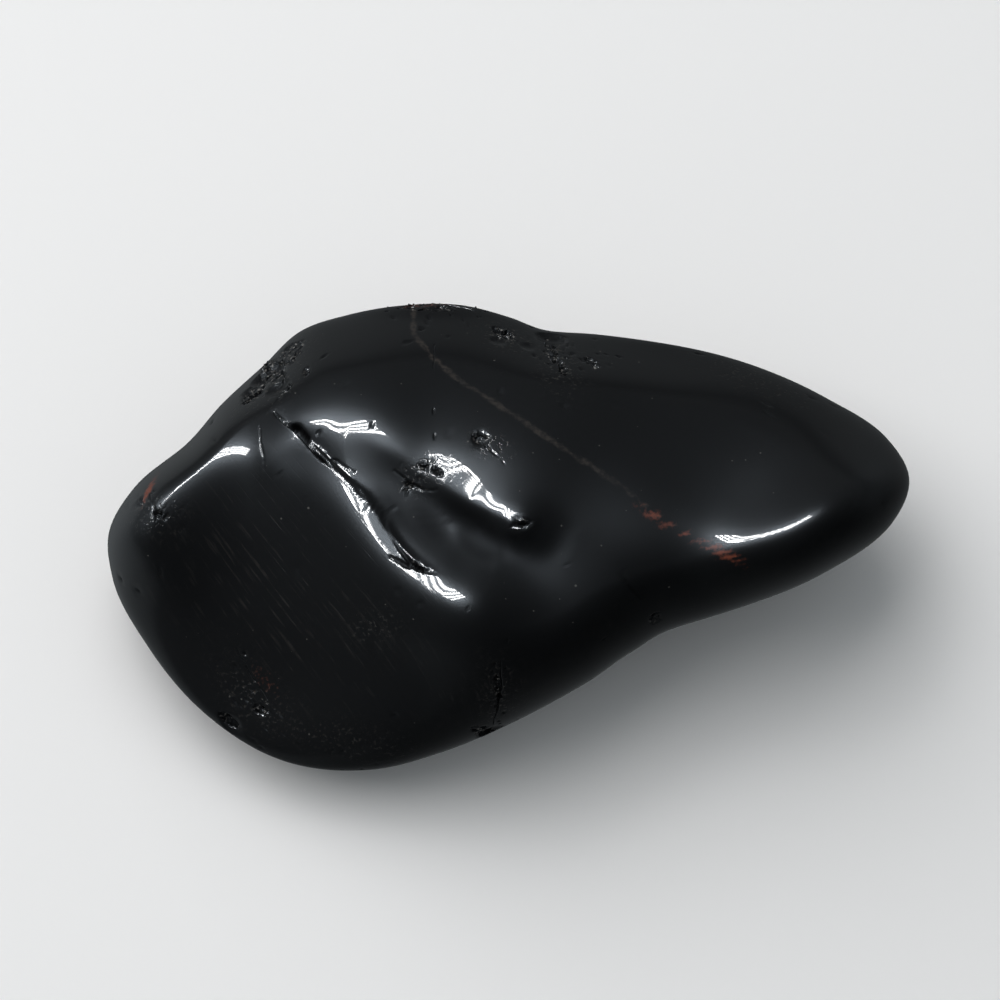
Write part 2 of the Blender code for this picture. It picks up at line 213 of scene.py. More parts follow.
# The shoulder, a rounded edge at the front of the +x lobe: x, y and how much it stands up.
SHOULDER = [
    (9.5, -2.9, 0.0),
    (11.2, -2.4, 0.05),
    (12.4, -1.9, 0.35),
    (13.8, -1.4, 0.65),
    (16.2, -0.5, 0.8),
    (18.4, 0.7, 0.6),
    (20.5, 2.2, 0.2),
    (22.5, 3.4, 0.0),
]
SHOULDER_REACH = 2.2

# The crack along the foot of the crest: x, y, and how far the valley side has dropped.
CRACK = [
    (-11.4, 6.1, 0.0),
    (-10.4, 5.5, 0.3),
    (-9.2, 4.5, 0.45),
    (-8.0, 3.4, 0.35),
    (-6.9, 2.4, 0.25),
    (-6.0, 1.6, 0.2),
    (-5.2, 0.5, 0.2),
    (-4.1, -1.0, 0.18),
    (-3.0, -2.0, 0.12),
    (-2.0, -2.6, 0.0),
]
CRACK_WIDTH = 0.3  # over which the drop is taken
CRACK_STEP_REACH = 1.6  # behind the line, over which the drop fades out

# Where flakes have broken away: x, y, the radius of the scoop that each has left and its depth.
CHIPS = [
    (-11.6, 8.2, 2.0, 0.35),
    (-10.9, 7.4, 1.6, 0.20),
    (-12.5, 7.3, 1.5, 0.15),
    (0.0, 4.6, 1.0, 0.12),
    (3.9, 10.2, 1.8, 0.25),
    (2.6, 9.7, 1.6, 0.08),
    (1.0, 10.0, 1.7, 0.08),
    (0.5, -11.1, 2.0, 0.20),
    (-18.4, 1.2, 1.4, 0.08),
    (-13.4, -10.8, 1.8, 0.16),
]

TOP_EASE = 0.5  # how loosely the surface follows the heights of TOP
SLOPE_STEP = 0.05  # across which a slope is read

# The nearest point of a line is taken from LINE_READS points and then closed in on LINE_STEPS times,
# by LINE_DAMPING of the way each time.
LINE_READS = 80
LINE_STEPS = 6
LINE_DAMPING = 0.7
GIRDLE_READS = 721  # the points of the girdle, for how far in from it a point is
ON_GIRDLE = 0.9999  # the share of the radius from which a point counts as on the girdle

# The underside is a bowl that would reach UNDER_H, below the table, and is rubbed flat at the table.
# It rises by TIP_RISE towards the +x tip. From UNDER_REACH in from the girdle it is at its deepest.
# The back wall turns upright over UNDER_TURN of its depth, and fully so from UNDER_BACK on.
UNDER_H = -2.5
UNDER_REACH = 10.0
UNDER_BACK = 6.0
UNDER_TURN = 4.0
TIP_RISE = 5.0
REST_SOFT = 2.0  # over which the underside blends into the resting flat

# The mesh starts as a box, in rows of faces along x, y and w, that is swollen to a ball.
ROWS = (92, 58, 20)
BALL_FLATNESS = 0.55  # the ball's height as a share of its width
SPLIT_NEAR = 1.2  # how near a line of the form the faces are split again
BATCH = 2000  # how many points are measured at a time


def read_curve(knots, at, closed=False):
    """Reads the columns of a table of knots, as smooth curves over its first column."""
    table = np.array(knots, float)
    if closed:
        before, after = table[-2:].copy(), table[:2].copy()
        before[:, 0] -= 360
        after[:, 0] += 360
        table = np.vstack([before, table, after])
        at = np.mod(at, 360)
    place = table[:, 0]
    slope = np.gradient(table, place, axis=0)
    at = np.clip(at, place[0], place[-1])
    i = np.clip(np.searchsorted(place, at, side="right") - 1, 0, len(place) - 2)
    step = place[i + 1] - place[i]
    t = ((at - place[i]) / step)[:, None]
    step = step[:, None]
    read = (
        (1 + 2 * t) * (1 - t) ** 2 * table[i]
        + t * (1 - t) ** 2 * step * slope[i]
        + t**2 * (3 - 2 * t) * table[i + 1]
        - t**2 * (1 - t) * step * slope[i + 1]
    )
    return read.T[1:]


def lower(a, b, soft):
    """The lower of two heights, blended over soft millimetres where they meet."""
    share = np.maximum(soft - np.abs(a - b), 0) / soft
    return np.minimum(a, b) - share**2 * soft / 4


def higher(a, b, soft):
    """The higher of two heights, blended in the same way."""
    return -lower(-a, -b, soft)


def fall(distance, slope, ease):
    """How far a slope has dropped at a distance, when it takes ease millimetres to steepen."""
    distance = np.maximum(distance, 0)
    return slope * (np.sqrt(distance**2 + ease**2) - ease)


def swell(x, y, at_x, at_y, length, width, turn, height):
    """A rounded rise of the given height, with its length turned by turn degrees from x."""
    c, s = math.cos(math.radians(turn)), math.sin(math.radians(turn))
    along = (x - at_x) * c + (y - at_y) * s
    across = (y - at_y) * c - (x - at_x) * s
    return height * np.exp(-((along / length) ** 2) - (across / width) ** 2)


def through_heights(points, x, y):
    """A smooth surface through points (x, y, h), read at other x and y."""
    at = np.array([p[:2] for p in points], float)
    n = len(at)
    system = np.zeros((n + 3, n + 3))
    system[:n, :n] = np.linalg.norm(at[:, None] - at, axis=2) ** 3 + TOP_EASE * np.eye(n)
    system[:n, n] = system[n, :n] = 1
    system[:n, n + 1:] = at
    system[n + 1:, :n] = at.T
    weights = np.linalg.solve(system, [p[2] for p in points] + [0, 0, 0])
    h = weights[n] + weights[n + 1] * x + weights[n + 2] * y
    for (px, py), weight in zip(at, weights):
        h = h + weight * np.hypot(x - px, y - py) ** 3
    return h


def behind_line(knots, x, y):
    """The distance of each point behind a line of knots, and the line's other columns there."""
    best = np.full(len(x), np.inf)
    at = np.zeros(len(x))
    for line_x in np.linspace(knots[0][0], knots[-1][0], LINE_READS):
        gap = np.hypot(x - line_x, y - read_curve(knots, np.array([line_x]))[0])
        closer = gap < best
        best[closer] = gap[closer]
        at[closer] = line_x
    for _ in range(LINE_STEPS):
        line_y = read_curve(knots, at)[0]
        slope = (read_curve(knots, at + SLOPE_STEP)[0] - line_y) / SLOPE_STEP
        at = at + LINE_DAMPING * (x - at + (y - line_y) * slope) / (1 + slope**2)
        at = np.clip(at, knots[0][0], knots[-1][0] - SLOPE_STEP)
    columns = read_curve(knots, at)
    side = np.where(y > read_curve(knots, x)[0], 1, -1)
    return side * np.hypot(x - at, y - columns[0]), columns[1:]


def face_height(x, y):
    """The height of the face above the table, before it rounds off to the girdle."""
    h = through_heights(TOP, x, y) + swell(x, y, *DOME)
    past, (rise,) = behind_line(SHOULDER, x, y)
    h = h + rise * np.exp(-((past / SHOULDER_REACH) ** 2))
    past, (ridge, ease, slope) = behind_line(CREST, x, y)
    h = h + ridge * np.exp(-((past / RIDGE_REACH) ** 2))
    near_wall = fall(past - CREST_FLAT, slope, ease)
    past, (lip, ease, slope) = behind_line(BROW, x, y)
    h = h + lip * np.exp(-((past / np.where(past < 0, *LIP_REACH)) ** 2))
    far_wall = fall(-past, slope, ease)
    valley = np.maximum(lower(near_wall, far_wall, VALLEY_SOFT), 0)
    past, (drop,) = behind_line(CRACK, x, y)
    over = np.clip(past / CRACK_WIDTH + 0.5, 0, 1)
    step = drop * over * over * (3 - 2 * over) * np.exp(-np.maximum(past, 0) / CRACK_STEP_REACH)
    return h - valley - step


def upper_side(x, y):
    """How far out of the face the pebble's upper side stands, its rounded edge included."""
    bearing = np.degrees(np.arctan2(y, x))
    radius, girdle_h, reach = read_curve(GIRDLE, bearing, closed=True)
    inside = np.where(np.hypot(x, y) > radius * ON_GIRDLE, 0, girdle_distance(x, y))
    face = (face_height(x, y) - ORIGIN_H - y * SIN) / COS
    rim = (girdle_h - ORIGIN_H - radius * np.sin(np.radians(bearing)) * SIN) / COS
    return rim + (face - rim) * np.sqrt(1 - (1 - np.minimum(inside / reach, 1)) ** 2)


def under_side(x, y):
    """The same for the underside, and how far its points move in under the face as it goes down."""
    bearing = np.degrees(np.arctan2(y, x))
    radius, girdle_h, _ = read_curve(GIRDLE, bearing, closed=True)
    inside = np.where(np.hypot(x, y) > radius * ON_GIRDLE, 0, girdle_distance(x, y))
    rim = (girdle_h - ORIGIN_H - radius * np.sin(np.radians(bearing)) * SIN) / COS
    bottom_h = UNDER_H + TIP_RISE * (np.maximum(x, 0) / GIRDLE[0][1]) ** 2
    bottom = (bottom_h - ORIGIN_H - y * SIN) / COS
    depth = (rim - bottom) * np.sqrt(1 - (1 - np.minimum(inside / UNDER_REACH, 1)) ** 2)
    back = np.clip((y + UNDER_BACK) / (2 * UNDER_BACK), 0, 1)
    return rim - depth, back * depth**2 / (depth + UNDER_TURN) * SIN / COS


def break_chips(points):
    """Pushes points in to the scoops that the chips have left."""
    for x, y, radius, depth in CHIPS:
        in_x, in_y = -math.copysign(SLOPE_STEP, x), -math.copysign(SLOPE_STEP, y)
        w = upper_side(np.array([x, x + in_x, x]), np.array([y, y, y + in_y]))
        outward = np.array([(w[0] - w[1]) / in_x, (w[0] - w[2]) / in_y, 1])
        outward /= np.linalg.norm(outward)
        away = points - np.array([x, y, w[0]]) - outward * (radius - depth)
        gap = np.linalg.norm(away, axis=1)[:, None]
        points = points + away * np.maximum(radius / gap - 1, 0)
    return points


def pebble_points(directions):
    """Moves points that lie all round the origin onto the pebble's surface."""
    p = np.array(directions, float)
    p /= np.linalg.norm(p, axis=1)[:, None]
    radius = read_curve(GIRDLE, np.degrees(np.arctan2(p[:, 1], p[:, 0])), closed=True)[0]
    x, y = radius * p[:, 0], radius * p[:, 1]
    upper = p[:, 2] > 0
    w = np.zeros(len(p))
    w[upper] = upper_side(x[upper], y[upper])
    w[~upper], inward = under_side(x[~upper], y[~upper])
    y[~upper] -= inward
    x, y, w = break_chips(np.stack([x, y, w], axis=1)).T
    z = higher(ORIGIN_H + y * SIN + w * COS, 0 * w, REST_SOFT)
    return np.stack([x, y * COS - w * SIN, z], axis=1)


def line_distance(line, x, y):
    """How far each point of the face is from a line of points."""
    starts, steps = line[:-1], np.diff(line, axis=0)
    best = np.full(len(x), np.inf)
    for first in range(0, len(x), BATCH):
        batch = slice(first, first + BATCH)
        away = np.stack([x[batch], y[batch]], axis=1)[:, None, :] - starts
        t = np.clip((away * steps).sum(2) / (steps**2).sum(1), 0, 1)
        best[batch] = np.linalg.norm(away - t[..., None] * steps, axis=2).min(axis=1)
    return best


def girdle_distance(x, y):
    """How far each point of the face is from the girdle."""
    bearing = np.linspace(0, 360, GIRDLE_READS)
    radius = read_curve(GIRDLE, bearing, closed=True)[0]
    turn = np.radians(bearing)
    return line_distance(np.stack([radius * np.cos(turn), radius * np.sin(turn)], axis=1), x, y)


def round_box(rows):
    """A box cut into rows along x, y and w and swollen to a ball that is flatter along w."""
    points, faces = [], []
    for axis in range(3):
        u, v = (axis + 1) % 3, (axis + 2) % 3
        grid_u, grid_v = np.meshgrid(
            np.linspace(-1, 1, rows[u] + 1), np.linspace(-1, 1, rows[v] + 1), indexing="ij"
        )
        for side in (-1, 1):
            start = sum(len(p) for p in points)
            block = np.zeros((grid_u.size, 3))
            block[:, axis] = side
            block[:, u] = grid_u.ravel()
            block[:, v] = grid_v.ravel()
            points.append(block)
            n = rows[v] + 1
            for i in range(rows[u]):
                for j in range(rows[v]):
                    a = start + i * n + j
                    face = (a, a + n, a + n + 1, a + 1)
                    faces.append(face if side > 0 else face[::-1])
    points = np.vstack(points)
    _, first, same = np.unique(np.round(points, 6), axis=0, return_index=True, return_inverse=True)
    ball = np.tan(points[first] * math.pi / 4)
    ball[:, 2] *= BALL_FLATNESS
    same = same.ravel()
    return ball, [tuple(int(same[i]) for i in face) for face in faces]


UNDERCUT = 0.25  # how far below the girdle a flaw of the face fades out, as a share of the ball


def on_face(directions):
    """The place (x, y) on the face of points all round the origin, and how near the upper side."""
    p = np.array(directions, float)
    p /= np.linalg.norm(p, axis=1)[:, None]
    radius = read_curve(GIRDLE, np.degrees(np.arctan2(p[:, 1], p[:, 0])), closed=True)[0]
    return radius * p[:, 0], radius * p[:, 1], np.clip(1 + p[:, 2] / UNDERCUT, 0, 1)


def split_faces(bm, near):
    """Halves the edges of the faces of the upper side that near picks by their place."""
    bm.verts.index_update()
    x, y, upper = on_face([v.co[:] for v in bm.verts])
    close = (upper > 0.5) & near(x, y)
    faces = [f for f in bm.faces if all(close[v.index] for v in f.verts)]
    edges = {e for f in faces for e in f.edges}
    bmesh.ops.subdivide_edges(bm, edges=list(edges), cuts=1, use_grid_fill=True)


def near_form_lines(x, y):
    """Which points of the face lie close to the crest, the brow or the crack, their faint ends aside."""
    gaps = [np.abs(behind_line(line, x, y)[0]) for line in (CREST[4:-2], BROW[1:-1], CRACK)]
    return np.min(gaps, axis=0) < SPLIT_NEAR


# ---- Fractures and broken patches ----
# Schorl grows as a bundle of brittle needles. Tumbling has ground it round but left its fractures
# open, with rough patches where flakes have split away and pits where grains have dropped out.

# Each fracture is a line of (x, y, how wide it is to either side, how deep it is).
FRACTURES = [
    [
        (-11.1, 6.1, 0.06, 0.10),
        (-10.6, 5.6, 0.12, 0.25),
        (-9.9, 5.2, 0.32, 0.50),
        (-9.4, 4.7, 0.34, 0.55),
        (-8.9, 4.1, 0.20, 0.40),
        (-8.4, 3.5, 0.13, 0.30),
        (-7.9, 3.1, 0.05, 0.08),
        (-7.0, 2.3, 0.04, 0.05),
        (-6.4, 1.8, 0.10, 0.12),
        (-6.0, 1.4, 0.04, 0.04),
        (-5.4, 0.6, 0.04, 0.04),
        (-5.1, 0.2, 0.10, 0.12),
        (-4.7, -0.5, 0.04, 0.04),
        (-4.0, -1.6, 0.10, 0.16),
        (-3.5, -2.1, 0.22, 0.35),
        (-2.9, -2.4, 0.12, 0.20),
        (-2.2, -2.6, 0.05, 0.05),
    ],
    [(-4.9, -1.6, 0.05, 0.08), (-4.3, -1.9, 0.10, 0.16), (-3.6, -2.2, 0.16, 0.25)],
    [(-11.9, 5.4, 0.04, 0.05), (-11.7, 4.0, 0.05, 0.07), (-11.5, 2.8, 0.04, 0.03)],
    [(-8.3, 3.6, 0.09, 0.10), (-7.6, 3.4, 0.07, 0.08), (-6.6, 2.8, 0.05, 0.05)],
    [(-2.5, 9.8, 0.04, 0.03), (-2.5, 9.0, 0.05, 0.04), (-2.5, 8.3, 0.03, 0.02)],
    [(-2.5, 6.3, 0.04, 0.03), (-2.5, 6.1, 0.08, 0.08), (-2.5, 5.9, 0.04, 0.03)],
    [(-2.4, 5.0, 0.04, 0.03), (-2.4, 4.8, 0.08, 0.08), (-2.4, 4.4, 0.03, 0.02)],
    [(0.4, 4.2, 0.05, 0.05), (0.8, 3.8, 0.05, 0.05), (1.4, 3.2, 0.03, 0.02)],
    [(1.5, 0.0, 0.04, 0.04), (2.0, 0.05, 0.18, 0.28), (2.5, 0.1, 0.22, 0.32), (2.9, 0.1, 0.06, 0.05)],
    [(-4.6, 3.0, 0.05, 0.06), (-3.7, 2.2, 0.12, 0.14), (-2.9, 1.8, 0.09, 0.10),
     (-2.2, 1.9, 0.05, 0.05)],
    [(7.1, -1.9, 0.04, 0.03), (7.7, -2.9, 0.06, 0.05), (8.6, -4.0, 0.04, 0.03)],
    [(-6.3, 12.0, 0.06, 0.08), (-4.4, 12.2, 0.14, 0.20), (-2.4, 12.2, 0.10, 0.14),
     (0.0, 11.7, 0.05, 0.05)],
    [(3.6, 10.2, 0.05, 0.05), (3.9, 9.6, 0.14, 0.16), (4.3, 8.9, 0.10, 0.12), (4.4, 8.0, 0.05, 0.04)],
    [(1.1, -7.2, 0.04, 0.03), (1.2, -8.6, 0.08, 0.08), (0.8, -10.4, 0.10, 0.12),
     (0.6, -11.4, 0.05, 0.05)],
    [(-17.9, 1.9, 0.05, 0.05), (-17.5, 0.9, 0.08, 0.09), (-17.4, 0.2, 0.05, 0.05)],
    [(-13.2, -6.4, 0.04, 0.04), (-12.4, -8.0, 0.06, 0.06), (-11.4, -9.4, 0.04, 0.03)],
]
FRACTURE_STEP = 0.12  # between the points that each line is drawn with

# The broken patches: x, y, half the length, half the width, its turn in degrees and how broken.
BROKEN = [
    (-10.3, 9.4, 1.0, 0.6, 45, 0.9),
    (-11.3, 8.3, 0.9, 0.9, 0, 1.0),
    (-12.2, 7.3, 1.1, 0.5, 50, 0.9),
    (-10.6, 7.3, 0.7, 0.35, 20, 0.75),
    (-9.4, 8.3, 0.5, 0.3, 80, 0.65),
    (-2.3, 2.9, 0.7, 0.18, -35, 0.66),
    (2.3, 0.15, 0.50, 0.24, -25, 1.0),
    (0.05, 4.65, 0.60, 0.28, -15, 0.85),
    (0.4, 4.2, 0.40, 0.16, -50, 0.75),
    (-3.8, 2.1, 0.40, 0.26, 35, 0.85),
    (-3.0, 3.2, 0.45, 0.26, 35, 0.85),
    (-3.4, -2.1, 0.70, 0.22, -28, 0.85),
    (1.0, -8.8, 1.6, 0.28, 95, 0.65),
    (0.3, -11.2, 1.0, 0.45, -20, 0.85),
    (9.4, -5.0, 0.6, 0.4, 35, 0.7),
    (3.9, 9.5, 0.8, 0.40, 110, 0.85),
    (4.5, 8.5, 0.8, 0.30, 110, 0.7),
    (1.3, 10.4, 1.1, 0.40, -25, 0.8),
    (6.1, 8.8, 0.8, 0.30, -50, 0.65),
    (-3.2, 11.9, 3.0, 0.30, -3, 0.6),
    (-17.2, 0.5, 0.5, 0.3, -30, 0.7),
    (-18.2, 1.3, 0.4, 0.3, 30, 0.75),
    (-11.9, -9.9, 0.8, 0.4, -50, 0.62),
    (-13.6, -10.6, 0.9, 0.35, -40, 0.8),
]

# Where pits are common, in the same six columns; over the rest they are PITS_ELSEWHERE as common.
PITTED = [
    (-17.4, 0.4, 1.6, 1.4, 0, 1.0),
    (-12.4, -9.2, 3.0, 1.6, -45, 0.8),
    (-8.0, -12.2, 4.5, 0.8, -12, 0.8),
    (1.0, -8.6, 2.6, 0.9, 95, 0.8),
    (-5.4, -5.4, 1.0, 0.9, 0, 0.7),
    (5.0, 9.4, 2.6, 1.2, -20, 0.8),
    (15.2, 8.4, 3.2, 0.7, -22, 0.6),
    (-3.2, 11.4, 4.0, 0.8, 0, 0.7),
    (-3.2, 2.8, 1.4, 1.2, 0, 0.7),
]
PITS_ELSEWHERE = 0.05

# Where faces are split, first widely and then close to a flaw: how near a fracture they are, and by
# how much they are in a broken patch.
SPLIT_WIDE = (0.55, 0.12)
SPLIT_CLOSE = (0.30, 0.45)


def in_patches(table, x, y):
    """How deep in one of a table's patches each point of the face lies, from 0 to 1."""
    return np.max([swell(x, y, *patch) for patch in table], axis=0)


def near_flaws(x, y, reach, share):
    """Which points are within reach of a fracture or in a broken patch by more than share."""
    gaps = [line_distance(np.array(line)[:, :2], x, y) for line in FRACTURES]
    return (np.min(gaps, axis=0) < reach) | (in_patches(BROKEN, x, y) > share)


ball, faces = round_box(ROWS)
mesh = bpy.data.meshes.new("tumbled_pebble")
mesh.from_pydata(ball.tolist(), [], faces)
bm = bmesh.new()
bm.from_mesh(mesh)

# The upper side's faces are split three times: all of them, near the lines and flaws, and close to
# the flaws.
split_faces(bm, lambda x, y: x < np.inf)
split_faces(bm, lambda x, y: near_form_lines(x, y) | near_flaws(x, y, *SPLIT_WIDE))
split_faces(bm, lambda x, y: near_flaws(x, y, *SPLIT_CLOSE))
directions = [v.co[:] for v in bm.verts]
points = pebble_points(directions)
shift = (points.min(axis=0) + points.max(axis=0)) / 2
shift[2] = points[:, 2].min()
for vert, point in zip(bm.verts, (points - shift) * MM):
    vert.co = point
bm.to_mesh(mesh)
bm.free()
pebble = bpy.data.objects.new("tumbled_pebble", mesh)
bpy.context.scene.collection.objects.link(pebble)


def mark(name, values):
    """Stores a number for each point of the pebble's mesh."""
    values = np.asarray(values, float)
    mesh.attributes.new(name, "FLOAT", "POINT").data.foreach_set("value", values)


def fracture_object():
    """The fractures as an object of edges that carry their width and depth in millimetres."""
    rows, edges = [], []
    for line in FRACTURES:
        knots = np.array(line)
        run = np.append(0, np.cumsum(np.linalg.norm(np.diff(knots[:, :2], axis=0), axis=1)))
        at = np.arange(0, run[-1], FRACTURE_STEP)
        edges += [(len(rows) + i, len(rows) + i + 1) for i in range(len(at) - 1)]
        rows += zip(*(np.interp(at, run, column) for column in knots.T))
    x, y, width, depth = np.array(rows).T
    w = upper_side(x, y)
    placed = np.stack([x, y * COS - w * SIN, ORIGIN_H + y * SIN + w * COS], axis=1)
    lines = bpy.data.meshes.new("fractures")
    lines.from_pydata(((placed - shift) * MM).tolist(), edges, [])
    lines.attributes.new("width", "FLOAT", "POINT").data.foreach_set("value", width)
    lines.attributes.new("depth", "FLOAT", "POINT").data.foreach_set("value", depth)
    return bpy.data.objects.new("fractures", lines)


def add(tree, kind, inputs=(), **settings):
    """Adds a node to a tree; its inputs are values, or the node or socket that feeds them."""
    node = tree.nodes.new(kind)
    for name, value in settings.items():
        setattr(node, name, value)
    for key, value in dict(inputs).items():
        named = [s for s in node.inputs if s.enabled and s.name == key]
        socket = named[0] if named else node.inputs[key]
        if isinstance(value, bpy.types.Node):
            value = next(s for s in value.outputs if s.enabled)
        if isinstance(value, bpy.types.NodeSocket):
            tree.links.new(value, socket)
        else:
            socket.default_value = value
    return node


def reckon(tree, operation, *values):
    """Adds a Math node that works on the given numbers or sockets."""
    return add(tree, "ShaderNodeMath", dict(enumerate(values)), operation=operation)


def blend(tree, value, low, high, from_low=0.0, from_high=1.0):
    """Adds a smooth change from low to high as the value goes from from_low to from_high."""
    ends = {"Value": value, "From Min": from_low, "From Max": from_high, "To Min": low, "To Max": high}
    return add(tree, "ShaderNodeMapRange", ends, interpolation_type="SMOOTHSTEP")


def from_middle(tree, colour):
    """Adds a vector that runs from -0.5 to 0.5, from a colour that runs from 0 to 1."""
    return add(tree, "ShaderNodeVectorMath", {0: colour, 1: (0.5, 0.5, 0.5)}, operation="SUBTRACT")


x, y, upper = on_face(directions)
mark("broken", in_patches(BROKEN, x, y) * upper)
mark("pitted", np.maximum(in_patches(PITTED, x, y) * upper, PITS_ELSEWHERE))
fractures = fracture_object()
bpy.context.scene.collection.objects.link(fractures)

# The tree that cuts the flaws into the pebble. Its lengths are in millimetres. Shard Tilt is how
# steeply the shards may lean, and Pit Depth is a share of the pit's radius.
flaws = bpy.data.node_groups.new("tumbling_flaws", "GeometryNodeTree")
FLAW_SIZES = {
    "Fractures": ("NodeSocketObject", fractures),
    "Wander": ("NodeSocketFloat", 0.3),
    "Wander Length": ("NodeSocketFloat", 1.1),
    "Shard Length": ("NodeSocketFloat", 0.6),
    "Shard Depth": ("NodeSocketFloat", 0.19),
    "Shard Tilt": ("NodeSocketFloat", 0.6),
    "Pits per Square Millimetre": ("NodeSocketFloat", 2.2),
    "Smallest Pit": ("NodeSocketFloat", 0.05),
    "Largest Pit": ("NodeSocketFloat", 0.17),
    "Pit Depth": ("NodeSocketFloat", 0.7),
    "Seed": ("NodeSocketInt", 7),
}
flaws.interface.new_socket("Geometry", in_out="INPUT", socket_type="NodeSocketGeometry")
flaws.interface.new_socket("Geometry", in_out="OUTPUT", socket_type="NodeSocketGeometry")
sockets = {
    name: flaws.interface.new_socket(name, in_out="INPUT", socket_type=kind).identifier
    for name, (kind, _) in FLAW_SIZES.items()
}
given = add(flaws, "NodeGroupInput").outputs


def reads(name):
    """Adds a node that reads one of the marks of the mesh."""
    return add(flaws, "GeometryNodeInputNamedAttribute", {"Name": name}, data_type="FLOAT")


def to_nearest(targets, point, element, size, *others):
    """The distance to the nearest target as a share of its size, the size, and its other marks."""
    at = {"Geometry": targets, "Sample Position": point}
    gap = add(flaws, "GeometryNodeProximity", at, target_element=element)
    nearest = add(flaws, "GeometryNodeSampleNearest", at, domain="POINT")
    size, *others = [
        add(flaws, "GeometryNodeSampleIndex", {"Geometry": targets, "Value": reads(name), "Index": nearest})
        for name in (size, *others)
    ]
    gap = reckon(flaws, "DIVIDE", gap.outputs["Distance"], MM)
    return reckon(flaws, "DIVIDE", gap, size), size, *others


def stored(geometry, name, value):
    """Stores a field as a mark of the mesh and gives the geometry that carries it."""
    kept = {"Geometry": geometry, "Name": name, "Value": value}
    return add(flaws, "GeometryNodeStoreNamedAttribute", kept, data_type="FLOAT", domain="POINT")


# The shards of the broken patches: cells that each stand back and lean by an amount of their own. A
# patch's edge is ragged: it runs where the patch and a noise of RAGGED strength come to BREAK_EDGE.
RAGGED_PER_MM = 1.5
RAGGED = 0.9
BREAK_EDGE = (0.42, 0.58)
position = add(flaws, "GeometryNodeInputPosition")
place = add(flaws, "ShaderNodeVectorMath", {0: position, "Scale": 1 / MM}, operation="SCALE")
shard_scale = reckon(flaws, "DIVIDE", 1.0, given["Shard Length"])
cells = add(flaws, "ShaderNodeTexVoronoi", {"Vector": place, "Scale": shard_scale}, feature="F1")
rough = add(flaws, "ShaderNodeTexNoise", {"Vector": place, "Scale": RAGGED_PER_MM, "Detail": 4.0})
ragged = reckon(flaws, "MULTIPLY_ADD", rough, RAGGED, -RAGGED / 2)
torn = blend(flaws, reckon(flaws, "ADD", reads("broken"), ragged), 0.0, 1.0, *BREAK_EDGE)
shade = add(flaws, "ShaderNodeSeparateXYZ", {0: cells.outputs["Color"]})
stand_back = reckon(flaws, "MULTIPLY", shade.outputs["X"], given["Shard Depth"])
from_cell = add(flaws, "ShaderNodeVectorMath", {
    0: place, 1: cells.outputs["Position"]}, operation="SUBTRACT")
lean = from_middle(flaws, cells.outputs["Color"])
leaning = add(flaws, "ShaderNodeVectorMath", {0: from_cell, 1: lean}, operation="DOT_PRODUCT")
tilted = reckon(flaws, "MULTIPLY_ADD", leaning.outputs["Value"], given["Shard Tilt"], stand_back)
shard_depth = reckon(flaws, "MULTIPLY", torn, reckon(flaws, "MAXIMUM", tilted, 0.0))
geometry = stored(given["Geometry"], "torn", torn)

# The fractures: a groove about each line, which wanders to either side of it. Its floor is flat over
# FRACTURE_FLOOR of its width.
FRACTURE_FLOOR = 0.3
noise = add(flaws, "ShaderNodeTexNoise", {"Vector": place, "Scale": reckon(
    flaws, "DIVIDE", 1.0, given["Wander Length"]), "Detail": 3.0})
aside = add(flaws, "ShaderNodeVectorMath", {
    0: from_middle(flaws, noise.outputs["Color"]),
    "Scale": reckon(flaws, "MULTIPLY", given["Wander"], MM)}, operation="SCALE")
wandered = add(flaws, "ShaderNodeVectorMath", {0: position, 1: aside}, operation="ADD")
lines = add(flaws, "GeometryNodeObjectInfo", {"Object": given["Fractures"]}).outputs["Geometry"]
across, width, depth = to_nearest(lines, wandered, "EDGES", "width", "depth")
open_share = blend(flaws, across, 1.0, 0.0, FRACTURE_FLOOR, 1.0)
gash_depth = reckon(flaws, "MULTIPLY", open_share, depth)
geometry = stored(geometry, "fracture", open_share)

# The pits: a small bowl about each of the scattered points, flat over PIT_FLOOR of its radius.
PIT_FLOOR = 0.2
per_square = reckon(flaws, "MULTIPLY", given["Pits per Square Millimetre"], MM**-2)
pits = add(flaws, "GeometryNodeDistributePointsOnFaces", {
    "Mesh": given["Geometry"], "Density": reckon(flaws, "MULTIPLY", reads("pitted"), per_square),
    "Seed": given["Seed"]}, distribute_method="RANDOM")
pit_radius = add(flaws, "FunctionNodeRandomValue", {
    "Min": given["Smallest Pit"], "Max": given["Largest Pit"], "Seed": given["Seed"]}, data_type="FLOAT")
pits = stored(pits.outputs["Points"], "radius", pit_radius)
across, radius = to_nearest(pits, position, "POINTS", "radius")
pit_share = blend(flaws, across, 1.0, 0.0, PIT_FLOOR, 1.0)
pit_depth = reckon(flaws, "MULTIPLY", reckon(flaws, "MULTIPLY", radius, given["Pit Depth"]), pit_share)
geometry = stored(geometry, "pit", pit_share)

# All three are cut at once, straight into the unbroken surface.
cut_depth = reckon(flaws, "ADD", shard_depth, reckon(flaws, "ADD", gash_depth, pit_depth))
geometry = stored(geometry, "cut", cut_depth)
inward = add(flaws, "ShaderNodeVectorMath", {
    0: add(flaws, "GeometryNodeInputNormal"), "Scale": reckon(flaws, "MULTIPLY", reads("cut"), -MM)},
    operation="SCALE")
geometry = add(flaws, "GeometryNodeSetPosition", {"Geometry": geometry, "Offset": inward})

# The broken patches keep their flat facets, and all the rest is smooth.
smooth = add(flaws, "GeometryNodeSetShadeSmooth", {
    "Geometry": geometry, "Shade Smooth": reckon(flaws, "LESS_THAN", reads("torn"), 0.5)}, domain="FACE")
realized = add(flaws, "GeometryNodeRealizeInstances", {"Geometry": smooth})

